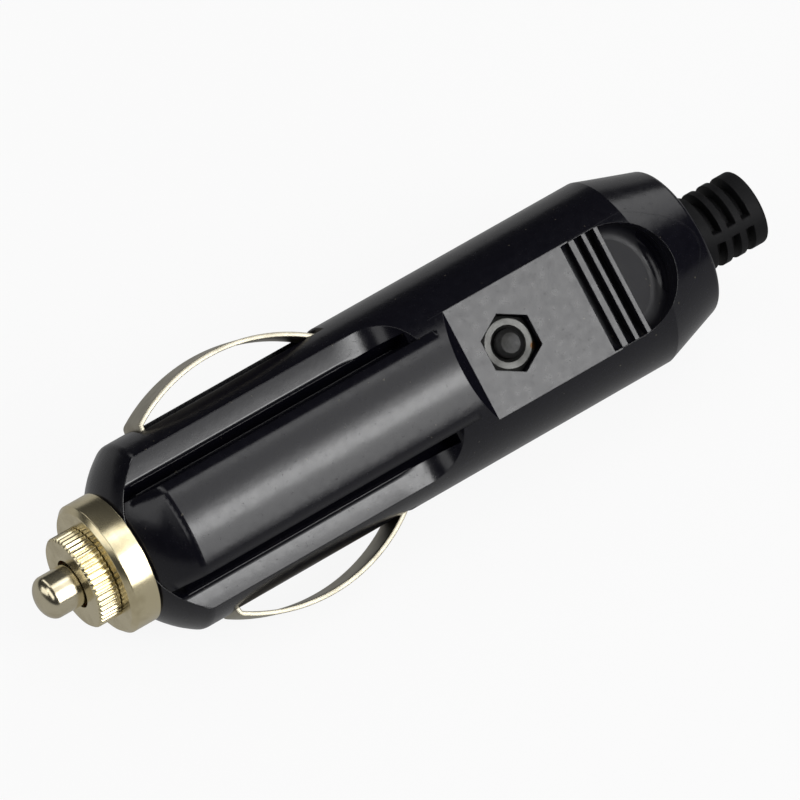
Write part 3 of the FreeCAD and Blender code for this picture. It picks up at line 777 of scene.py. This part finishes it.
NICKEL = Metal("nickel", (0.82, 0.725, 0.48), (0.68, 0.59, 0.37), rough=0.23, spread=0.06,
               grain=Grain.TURNED, fineness=7.0, depth=0.0004)
TIP_NICKEL = Metal("nickel_tip", (0.80, 0.725, 0.53), (0.66, 0.58, 0.40), rough=0.2, spread=0.06,
                   grain=Grain.TURNED, depth=0.0004)
LEAF_NICKEL = Metal("leaf_plating", (0.45, 0.42, 0.335), (0.37, 0.34, 0.265), rough=0.42,
                    grain=Grain.DRAWN, fineness=4.0)
NUT_ZINC = RustedMetal("zinc_steel", (0.125, 0.125, 0.12), (0.08, 0.08, 0.076), rough=0.5, spread=0.2,
                       fineness=8.0, depth=0.004)
SCREW_ZINC = Metal("zinc_steel", (0.06, 0.06, 0.06), (0.03, 0.03, 0.028), rough=0.55, spread=0.2,
                   fineness=3.0, depth=0.03)
SPRING_STEEL = Metal("spring_steel", (0.46, 0.46, 0.47), (0.34, 0.33, 0.33), rough=0.3, spread=0.12,
                     fineness=9.0)
BRASS = Metal("brass", (0.72, 0.53, 0.24), (0.52, 0.36, 0.16), rough=0.3, spread=0.15,
              grain=Grain.DRAWN, fineness=5.0)
FUSE_PLATING = Metal("fuse_plating", (0.74, 0.73, 0.70), (0.62, 0.60, 0.56), rough=0.2,
                     grain=Grain.TURNED, depth=0.001)
FUSE_ELEMENT = Metal("fuse_element", (0.70, 0.65, 0.52), (0.58, 0.52, 0.40), rough=0.3,
                     fineness=9.0, depth=0.001)


@dataclass
class Assembly:
    """A group of pieces that share a place in the plug.

    Each group's sizes are in the plug's millimetres. Places run along its axis from the housing's front
    face, and heights and radii are taken from the axis.

    Attributes:
        plug: Where the plug lies.
        nodes: The CAD nodes by name.
    """

    plug: PlugFrame
    nodes: dict[str, bpy.types.Object]

    def mesh(self, name: str, patches: Sequence[Patch], solid: bool = True) -> bpy.types.Object:
        """Joins patches into one mesh, with doubled points merged and faces turned outward.

        Args:
            name: Name of the new object.
            patches: The surfaces, in the plug's millimetres.
            solid: Whether the patches close a volume; an open sheet keeps its own faces.

        Returns:
            The new object, linked to the scene.
        """
        starts = np.cumsum([0] + [patch.points.shape[0] * patch.points.shape[1] for patch in patches])
        points = np.concatenate([patch.points.reshape(-1, 3) for patch in patches])
        faces = np.concatenate([patch.faces(start) for patch, start in zip(patches, starts)])
        data = bpy.data.meshes.new(name)
        data.from_pydata(self.plug.place(points), [], faces)
        shape = bmesh.new()
        shape.from_mesh(data)
        bmesh.ops.remove_doubles(shape, verts=shape.verts, dist=MERGE * MM)
        if solid:
            bmesh.ops.recalc_face_normals(shape, faces=shape.faces)
        shape.to_mesh(data)
        shape.free()
        data.polygons.foreach_set("use_smooth", np.ones(len(data.polygons), dtype=bool))
        data.set_sharp_from_angle(angle=math.radians(CREASE))
        made = bpy.data.objects.new(name, data)
        bpy.context.scene.collection.objects.link(made)
        return made

    def fit(self, made: bpy.types.Object, node: str, body: str, finish: Finish) -> bpy.types.Object:
        """Dresses a new piece, lets it ride on its body and puts it in its node's stead.

        Args:
            made: The new object.
            node: The CAD node that it replaces.
            body: The body that it rides on.
            finish: Its finish.

        Returns:
            The same object.
        """
        made.data.materials.append(finish.material(self.plug))
        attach(made, body)
        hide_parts(node)
        return made

    def dress(self, finish: Finish, *names: str) -> list[bpy.types.Object]:
        """Gives CAD nodes that stay as they are a finish.

        Args:
            finish: The finish.
            *names: Names of the nodes.

        Returns:
            The nodes' objects.
        """
        material = finish.material(self.plug)
        dressed = [self.nodes[name] for name in names]
        for node in dressed:
            node.data.materials.clear()
            node.data.materials.append(material)
        return dressed


@dataclass
class Housing(Assembly):
    """The two moulded shells, with the screw and nut that clamp them."""

    nut_flats: float = 5.5
    nut_low: float = 5.05
    nut_high: float = 7.45
    nut_face: float = 2.55
    nut_bore: float = 1.55
    nut_chamfer: float = 0.1
    countersink: float = 0.35
    corner_drop: float = 0.4
    screw_radius: float = 1.5
    screw_end: float = 8.2
    screw_pitch: float = 0.5
    thread_depth: float = 0.25
    neck_length: float = 2.0
    end_bevel: float = 0.45
    end_soft: float = 0.08
    head_low: float = -7.8
    head_high: float = -5.8
    head_radius: float = 2.75
    head_dome: float = 0.7
    head_soft: float = 0.1
    head_rows: int = 64
    cross_width: float = 0.9
    cross_length: float = 3.2
    cross_depth: float = 1.2
    cross_soft: float = 0.1
    columns: int = 192

    def build(self) -> list[bpy.types.Object]:
        """The shells, the nut and the screw."""
        shells = self.dress(Moulding(), "upper_shell", "lower_shell")
        return [*shells, self.nut(), self.screw()]

    def nut(self) -> bpy.types.Object:
        """A hexagon nut, whose side is half the flats over the cosine of the turn from the next flat.

        From the round face out to that side, the top falls in proportion to the radius.

        Returns:
            The nut.
        """
        angle = turns(self.columns)
        sixth = math.pi / 3
        side = self.nut_flats / 2 / np.cos(np.mod(angle + sixth / 2, sixth) - sixth / 2)
        slope = self.corner_drop / (self.nut_flats / math.sqrt(3) - self.nut_face)
        even = np.ones_like(angle)
        bore, face, low, high = (size * even for size in (self.nut_bore, self.nut_face, self.nut_low,
                                                          self.nut_high))
        sunk, chamfer = self.countersink, self.nut_chamfer
        fall = high - (side - face) * slope
        radius = np.stack([bore, bore, bore + sunk, face, side, side, side - chamfer, bore])
        level = np.stack([low, high - sunk, high, high, fall, low + chamfer, low, low])
        made = self.mesh("hexagon_nut", [Patch(around(level, radius, angle)).upright(SCREW_PLACE)])
        return self.fit(made, "clamp_nut", "housing", NUT_ZINC)

    def screw(self) -> bpy.types.Object:
        """A pan-head screw: a threaded shank, and a domed head sunk by a cross.

        The dome falls with the fourth power of the radius. The cross is the larger of two bars of smooth
        steps, each in x and y.

        Returns:
            The screw.
        """
        angle = turns(self.columns)[None, :]
        reach = np.linspace(0.0, self.head_radius, self.head_rows)[:, None]
        x, y = reach * np.cos(angle), reach * np.sin(angle)
        long, wide = self.cross_length / 2, self.cross_width / 2
        bars = [1 - np.maximum(smooth(np.abs(a), long - self.cross_soft, long),
                               smooth(np.abs(b), wide - self.cross_soft, wide))
                for a, b in ((x, y), (y, x))]
        dome = self.head_dome * (reach / self.head_radius) ** 4
        crown = Patch(around(self.head_low + dome + self.cross_depth * np.maximum(*bars), reach, angle))
        shank = self.head_high + self.neck_length
        bevel = self.screw_end - self.end_bevel
        neck = rounded([(self.head_low + self.head_dome, self.head_radius),
                        (self.head_high, self.head_radius, self.head_soft),
                        (self.head_high, self.screw_radius), (shank, self.screw_radius)])
        end = rounded([(bevel, self.screw_radius),
                       (self.screw_end, self.screw_radius - self.end_bevel, self.end_soft),
                       (self.screw_end, 0.0)])
        thread = threaded(shank, bevel, self.screw_radius, -self.thread_depth, self.screw_pitch,
                          self.columns)
        patches = [crown, lathe(neck, self.columns), thread, lathe(end, self.columns)]
        made = self.mesh("cross_head_screw", [patch.upright(SCREW_PLACE) for patch in patches])
        return self.fit(made, "clamp_screw", "housing", SCREW_ZINC)


@dataclass
class Nose(Assembly):
    """The collar, the screwed cap and the sprung tip."""

    flange_radius: float = 7.15
    flange_bevel: float = 0.5
    flange_soft: float = 0.06
    neck_radius: float = 5.4
    neck_back: float = 2.6
    rim_radius: float = 6.1
    rim_back: float = 4.4
    rim_soft: float = 0.1
    bore: float = 4.6
    bore_thread: float = 0.25
    pitch: float = 0.75
    thread_depth: float = 0.3
    cap_front: float = -5.8
    cap_back: float = -3.3
    cap_radius: float = 5.0
    cap_bevel: float = 0.25
    cap_soft: float = 0.05
    web_back: float = -4.0
    hole: float = 2.65
    spigot_radius: float = 4.5
    spigot_back: float = 3.9
    cap_bore: float = 3.65
    knurls: int = 48
    knurl_depth: float = 0.26
    knurl_width: float = 0.44
    pin_front: float = -10.0
    pin_dome: float = 1.5
    pin_radius: float = 2.3
    shoulder: Triple = (-3.4, -2.2, 3.3)
    shoulder_soft: float = 0.1
    dome_rows: int = 24
    pin_columns: int = 128
    columns: int = 576

    def build(self) -> list[bpy.types.Object]:
        """The collar, the cap, the tip and the washer between them."""
        return [self.collar(), self.cap(), self.tip(), *self.dress(Fibre(), "tip_washer")]

    def collar(self) -> bpy.types.Object:
        """A flanged ring turned from its profile, with the cap's thread in its bore.

        Returns:
            The collar.
        """
        front = -FLANGE_LENGTH
        outside = rounded([
            (front, self.bore), (front, self.flange_radius - self.flange_bevel, self.flange_soft),
            (front + self.flange_bevel, self.flange_radius, self.flange_soft),
            (0.0, self.flange_radius, self.rim_soft), (0.0, self.neck_radius),
            (self.neck_back, self.neck_radius), (self.neck_back, self.rim_radius, self.rim_soft),
            (self.rim_back, self.rim_radius, self.rim_soft), (self.rim_back, self.bore)])
        inside = threaded(self.rim_back, front, self.bore, self.bore_thread, self.pitch, self.columns // 2)
        made = self.mesh("collar_ring", [lathe(outside, self.columns // 2), inside])
        return self.fit(made, "nose_collar", "housing", NICKEL)

    def cap(self) -> bpy.types.Object:
        """The screwed cap, whose rim is cut by straight grooves.

        A groove's depth falls in a straight line with the distance round the rim from its middle, to
        nothing at half its width. The front face is cut only where it reaches past the groove's floor.

        Returns:
            The cap.
        """
        face = rounded([(self.cap_front, self.hole, self.cap_soft),
                        (self.cap_front, self.cap_radius - self.cap_bevel, self.cap_soft),
                        (self.cap_front + self.cap_bevel, self.cap_radius, self.cap_soft),
                        (self.cap_back, self.cap_radius, self.cap_soft),
                        (self.cap_back, self.spigot_radius)])
        # The profile starts on the wall of the hole.
        face[0] = (self.cap_front, self.hole)
        angle = turns(self.columns)[None, :]
        share = np.abs(np.mod(angle * self.knurls / (2 * math.pi), 1.0) - 0.5)
        across = share * 2 * math.pi * self.cap_radius / self.knurls
        groove = self.knurl_depth * np.clip(1 - across / (self.knurl_width / 2), 0.0, 1.0)
        rim = Patch(around(face[:, :1], np.minimum(face[:, 1:], self.cap_radius - groove), angle))
        spigot = threaded(self.cap_back, self.spigot_back, self.spigot_radius, -self.thread_depth,
                          self.pitch, self.columns)
        inside = rounded([(self.spigot_back, self.spigot_radius), (self.spigot_back, self.cap_bore),
                          (self.web_back, self.cap_bore), (self.web_back, self.hole),
                          (self.cap_front, self.hole)])
        made = self.mesh("knurled_cap", [rim, spigot, lathe(inside, self.columns)])
        return self.fit(made, "fuse_cap", "cap", NICKEL)

    def tip(self) -> bpy.types.Object:
        """The pin: a dome of half an ellipse, a shaft and a shoulder, turned about the axis.

        Returns:
            The pin.
        """
        front, back, wide = self.shoulder
        lift = np.linspace(0.0, math.pi / 2, self.dome_rows)
        dome = np.column_stack([self.pin_front + self.pin_dome * (1 - np.cos(lift)),
                                self.pin_radius * np.sin(lift)])
        shaft = rounded([(front, self.pin_radius), (front, wide, self.shoulder_soft),
                         (back, wide, self.shoulder_soft), (back, 0.0)])
        made = self.mesh("domed_tip", [lathe(np.concatenate([dome, shaft]), self.pin_columns)])
        return self.fit(made, "tip_contact", "tip", TIP_NICKEL)


@dataclass
class Inside(Assembly):
    """The fuse, its spring and the brass inside the housing."""

    spring_front: float = 27.85
    spring_back: float = 37.75
    spring_anchor: float = 37.8
    spring_radius: float = 2.3
    spring_wire: float = 0.6
    spring_turns: float = 7.5
    closed_turns: float = 0.75
    press: float = 3.2
    rows: int = 400
    columns: int = 12

    def build(self) -> list[bpy.types.Object]:
        """The fuse's pieces, the brass and the spring.

        Returns:
            The pieces.
        """
        return [*self.dress(ClearGlass(), "fuse_glass"),
                *self.dress(FUSE_PLATING, "fuse_front_cap", "fuse_rear_cap"),
                *self.dress(FUSE_ELEMENT, "fuse_wire"),
                *self.dress(BRASS, "rear_contact", "ground_strap"),
                self.spring()]

    def spring(self) -> bpy.types.Object:
        """A coil: a tube about a helix whose first and last turns lie flat.

        At angle t the tube's middle is at the coil's radius. It goes back evenly between the flat turns.

        Returns:
            The spring.
        """
        half = self.spring_wire / 2
        turn = np.linspace(0.0, self.spring_turns, self.rows)[:, None]
        ring = turns(self.columns)[None, :]
        rise = np.clip((turn - self.closed_turns) / (self.spring_turns - 2 * self.closed_turns), 0.0, 1.0)
        place = self.spring_front + half + rise * (self.spring_back - self.spring_front - self.spring_wire)
        thick = half * np.where((turn > 0) & (turn < self.spring_turns), 1.0, 0.0)
        tube = around(place + thick * np.sin(ring), self.spring_radius + thick * np.cos(ring),
                      turn * 2 * math.pi)
        made = self.fit(self.mesh("coil_spring", [Patch(tube)]), "fuse_spring", "housing", SPRING_STEEL)
        anchor = self.plug.place(np.array([self.spring_anchor, 0.0, 0.0]))
        keep = 1 - self.press / (self.spring_anchor - self.spring_front)
        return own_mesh(made)


class Side(Enum):
    """The side of the plug that a leaf spring is on."""

    LEFT = "left"
    RIGHT = "right"

    @property
    def hand(self) -> float:
        """Sign of the side across the plug."""
        return 1.0 if self is Side.LEFT else -1.0


@dataclass
class LeafSpring(Assembly):
    """One bowed contact strip in the side of the housing.

    Attributes:
        side: The side that it is on.
        leg: Places of its front leg's foot and of the bow's start.
        crest: Place and height of the bow's crest.
        tail: Places of the tail's bend and end, and its height.
        skip: Points of the bow left out beside its rounded ends.
    """

    side: Side = Side.LEFT
    width: float = 5.0
    thick: float = 0.5
    foot_front: float = 5.7
    foot_top: float = 9.2
    foot_soft: float = 0.3
    leg: Span = (7.05, 7.3)
    leg_soft: float = 0.35
    crest: Span = (17.2, 13.66)
    tail: Triple = (29.72, 33.02, 8.85)
    tail_soft: float = 0.4
    skip: tuple[int, int] = (3, 2)
    edge: float = 0.06
    edge_steps: int = 2
    press: float = 3.2
    rows: int = 60
    columns: int = 9

    def build(self) -> list[bpy.types.Object]:
        """The strip, as a sheet along its line with live thickness and rounded edges.

        Returns:
            The one piece.
        """
        name = self.side.value
        line = self.line()[:, None, :]
        across = np.linspace(-self.width / 2, self.width / 2, self.columns)[None, :]
        hand = self.side.hand
        x, y, z = np.broadcast_arrays(line[..., 0], hand * line[..., 1], hand * across)
        sheet = Patch(np.stack([x, y, z], axis=-1), closed=False)
        made = self.mesh(f"leaf_{name}", [sheet], solid=False)
        solidify = made.modifiers.new("thickness", "SOLIDIFY")
        solidify.thickness = self.thick * MM
        solidify.offset = -1.0
        bevel = made.modifiers.new("edges", "BEVEL")
        bevel.width = self.edge * MM
        bevel.segments = self.edge_steps
        self.fit(made, f"side_contact_{name}", f"{name}_leaf", LEAF_NICKEL)
        anchor = self.plug.place(np.array([self.crest[0], hand * self.crest[1], 0.0]))
        keep = 1 - self.press / (self.crest[1] - (self.foot_top + self.tail[2]) / 2)
        return [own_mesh(made)]

    def line(self) -> np.ndarray:
        """The strip's line from its foot up the leg, over the bow and along the tail.

        The bow is a circle's arc: its radius is (drop^2 + run^2) / (2 drop) from the crest to the tail.

        Returns:
            Places and heights of its points.
        """
        bend, end, low = self.tail
        middle, top = self.crest
        drop, run = top - low, bend - middle
        radius = (drop ** 2 + run ** 2) / (2 * drop)
        lean = np.linspace(math.asin((self.leg[1] - middle) / radius), math.asin(run / radius), self.rows)
        arc = np.column_stack([middle + radius * np.sin(lean), top - radius * (1 - np.cos(lean))])
        first, last = self.skip
        return rounded([(self.foot_front, self.foot_top), (self.leg[0], self.foot_top, self.foot_soft),
                        (*arc[0], self.leg_soft), *arc[first:-last], (*arc[-1], self.tail_soft),
                        (end, low)])


@dataclass
class Boot(Assembly):
    """The slotted rubber boot at the cable end.

    Attributes:
        flange: Places of the hidden flange's faces, and its radius.
        neck: Place where the neck in the housing ends, and its radius.
        collar: Length of the plain end behind the slots.
        slot_angle: Turn that a slot covers, in degrees.
        spine_angle: Turn of the two spines between the slots, in degrees.
        slot_turn: Turn over which a slot's end comes up, in degrees.
        droop: How far the end has moved across the axis.
        bend: Length over which it moves.
    """

    flange: Triple = (64.1, 65.7, 5.2)
    flange_soft: float = 0.1
    neck: Span = (68.1, 3.4)
    step: float = 0.15
    end: float = 76.9
    radius: float = 4.1
    bore: float = 2.1
    rim_soft: float = 0.35
    mouth_soft: float = 0.15
    slots: int = 3
    slot_width: float = 0.9
    slot_pitch: float = 1.8
    slot_soft: float = 0.06
    collar: float = 1.7
    slot_floor: float = 2.9
    slot_angle: float = 162.0
    slot_turn: float = 1.5
    spine_angle: float = 17.0
    droop: float = 0.5
    bend: float = 3.5
    rows: int = 180
    columns: int = 160

    def build(self) -> list[bpy.types.Object]:
        """The boot, turned from its profile, with three rows of slots on both sides of two spines.

        Returns:
            The one piece.
        """
        start, back, wide = self.flange
        root, neck = self.neck
        front = rounded([(start, self.bore), (start, wide, self.flange_soft),
                         (back, wide, self.flange_soft), (back, neck), (root, neck),
                         (root, self.radius - self.step), (root + self.step, self.radius)])
        rim = self.end - self.rim_soft
        close = rounded([(rim, self.radius), (self.end, self.radius, self.rim_soft),
                         (self.end, self.bore, self.mouth_soft), (start, self.bore)])
        patches = [lathe(front, self.columns), self.body(root + self.step, rim), lathe(close, self.columns)]
        made = self.mesh("slotted_boot", [self.bent(patch) for patch in patches])
        return [self.fit(made, "strain_relief", "housing", Rubber())]

    def body(self, start: float, end: float) -> Patch:
        """The slotted body: its radius falls to the slots' floor by a band in x times one in angle.

        Args:
            start: First place along the axis.
            end: Last place along the axis.

        Returns:
            The surface, not bent yet.
        """
        angle = turns(self.columns)[None, :]
        place = np.linspace(start, end, self.rows)[:, None]
        half = self.slot_width / 2
        slots = self.end - self.collar - half - self.slot_pitch * np.arange(self.slots)
        gap = np.abs(place - slots[None, :]).min(axis=1, keepdims=True)
        along = 1 - smooth(gap, half - self.slot_soft, half + self.slot_soft)
        spine = math.radians(90.0 + self.spine_angle)
        turn = np.degrees(np.abs(np.mod(angle - spine, math.pi) - math.pi / 2))
        cover = self.slot_angle / 2
        about = 1 - smooth(turn, cover - self.slot_turn, cover + self.slot_turn)
        return Patch(around(place, self.radius - (self.radius - self.slot_floor) * along * about, angle))

    def bent(self, patch: Patch) -> Patch:
        """A patch of the boot, moved across the axis by the droop times a smooth step of the place.

        Args:
            patch: The straight patch.

        Returns:
            The bent patch.
        """
        way = smooth(patch.points[..., 0], self.neck[0], self.neck[0] + self.bend)
        shift = np.stack([np.zeros_like(way), -self.droop * way, np.zeros_like(way)], axis=-1)
        return Patch(patch.points + shift)


@dataclass(frozen=True)
class Softbox:
    """A studio lamp that faces the plug, with one side along the plug's axis.

    Attributes:
        name: Name of the lamp.
        towards: Direction from the plug to the lamp.
        distance: Distance in metres.
        size: Lengths of its sides in metres, the first along the plug.
        glow: Radiance of its face, where 1 shows as white.
    """

    name: str
    towards: Triple
    distance: float
    size: Span
    glow: float

    def build(self, aim: Vector) -> bpy.types.Object:
        """Hangs the lamp in the studio.

        Args:
            aim: The point that it faces.

        Returns:
            The lamp.
        """
        data = bpy.data.lights.new(self.name, "AREA")
        data.shape = "RECTANGLE"
        data.size, data.size_y = self.size
        data.energy = self.glow * math.pi * self.size[0] * self.size[1]
        lamp = bpy.data.objects.new(self.name, data)
        towards = Vector(self.towards).normalized()
        lamp.location = aim + towards * self.distance
        lamp.rotation_mode = "QUATERNION"
        beside = (Vector((1.0, 0.0, 0.0)) - towards * towards.x).normalized()
        axes = Matrix((beside, towards.cross(beside), towards)).transposed()
        lamp.rotation_quaternion = axes.to_quaternion()
        lamp.visible_camera = False
        bpy.context.scene.collection.objects.link(lamp)
        return lamp


@dataclass(frozen=True)
class Studio:
    """The floor, the lamps, the dim room and the camera.

    Attributes:
        aim: The point in the middle of the picture, in metres.
        towards: Direction from that point to the camera.
        distance: Distance of the camera in metres.
        frame_width: Width of the picture at the aim, in metres.
        tilt: Turn of the camera about its line of sight, in degrees.
        floor_size: Length of the floor's sides in metres.
        floor_grey: Grey of the floor under the lamps.
        seen: Share of white in the floor that the camera and the glass see.
        mirrored: Grey of the floor that glossy faces mirror.
        room: Grey of the room around.
        lamps: The lamps.
    """

    aim: Triple = (0.00043, -0.00018, 0.01029)
    towards: Triple = (-0.342, -0.512, 0.789)
    distance: float = 1.0
    frame_width: float = 0.08048
    tilt: float = -1.9
    floor_size: float = 4.0
    floor_grey: float = 0.7
    seen: float = 0.91
    mirrored: float = 0.37
    room: float = 0.035
    lamps: tuple[Softbox, ...] = (
        Softbox("core", (0.342, -0.7, 0.627), 0.65, (0.22, 0.19), 6.5),
        Softbox("halo", (0.342, -0.79, 0.51), 0.67, (0.26, 0.62), 2.3),
        Softbox("overhead", (0.342, -0.535, 0.772), 0.7, (0.26, 1.5), 1.5),
        Softbox("strip", (0.342, 0.0, 0.94), 0.72, (0.26, 0.1), 1.4),
        Softbox("front", (-0.85, 0.27, 0.45), 0.7, (0.32, 0.52), 1.3),
        Softbox("side", (-0.6, -0.25, 0.76), 0.75, (0.3, 0.8), 1.6),
        Softbox("behind", (-0.03, 0.62, 0.78), 0.75, (0.16, 0.9), 1.5),
        Softbox("rear", (0.74, 0.35, 0.57), 0.75, (0.3, 0.6), 1.7),
    )

    def build(self) -> None:
        """Sets the stage."""
        aim = Vector(self.aim)
        for lamp in self.lamps:
            lamp.build(aim)
        self.floor()
        world = bpy.data.worlds.new("room")
        world.use_nodes = True
        world.node_tree.nodes["Background"].inputs["Color"].default_value = (*(self.room,) * 3, 1.0)
        bpy.context.scene.world = world
        bpy.context.scene.view_settings.view_transform = "Standard"
        self.camera(aim)

    def floor(self) -> None:
        """A pale floor with the plug's shadow, which glossy faces mirror as an even grey."""
        half = self.floor_size / 2
        corners = [(-half, -half, 0.0), (half, -half, 0.0), (half, half, 0.0), (-half, half, 0.0)]
        data = bpy.data.meshes.new("floor")
        data.from_pydata(corners, [], [(0, 1, 2, 3)])
        floor = bpy.data.objects.new("floor", data)
        bpy.context.scene.collection.objects.link(floor)
        graph = Graph("pale_floor")
        ray = graph.node("ShaderNodeLightPath").socket.node
        camera, glossy, glass = (Field(graph, ray.outputs[name])
                                 for name in ("Is Camera Ray", "Is Glossy Ray", "Is Transmission Ray"))
        lit = graph.node("ShaderNodeBsdfDiffuse", sockets={"Color": (*(self.floor_grey,) * 3, 1.0)})
        white = graph.node("ShaderNodeEmission", sockets={"Color": (1.0, 1.0, 1.0, 1.0)})
        grey = graph.node("ShaderNodeEmission", sockets={"Color": (*(self.mirrored,) * 3, 1.0)})
        share = (camera + glass) * self.seen
        direct = graph.node("ShaderNodeMixShader", sockets={0: share, 1: lit, 2: white})
        surface = graph.node("ShaderNodeMixShader", sockets={0: glossy, 1: direct, 2: grey})
        data.materials.append(graph.close(surface))

    def camera(self, aim: Vector) -> None:
        """A long lens that looks down at the plug from its front right.

        Args:
            aim: The point that it faces.
        """
        data = bpy.data.cameras.new("camera")
        data.lens = data.sensor_width * self.distance / self.frame_width
        camera = bpy.data.objects.new("camera", data)
        towards = Vector(self.towards).normalized()
        camera.location = aim + towards * self.distance
        camera.rotation_mode = "QUATERNION"
        level = (-towards).to_track_quat("-Z", "Y")
        camera.rotation_quaternion = level @ Quaternion((0.0, 0.0, 1.0), math.radians(self.tilt))
        bpy.context.scene.collection.objects.link(camera)
        bpy.context.scene.camera = camera


def main() -> None:
    """Builds the plug's pieces in order, logging each, then the studio."""
    logging.basicConfig(level=logging.INFO, format="%(name)s: %(message)s")
    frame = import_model()
    plug = PlugFrame.of(frame["joints"])
    nodes = frame["nodes"]
    leaves = [LeafSpring(plug, nodes, side) for side in Side]
    groups = (Housing(plug, nodes), Nose(plug, nodes), Inside(plug, nodes), *leaves, Boot(plug, nodes))
    for group in groups:
        for piece in group.build():
            LOG.info("%s: %s, %d faces", type(group).__name__, piece.name, len(piece.data.polygons))
    Studio().build()


if __name__ == "__main__":
    main()
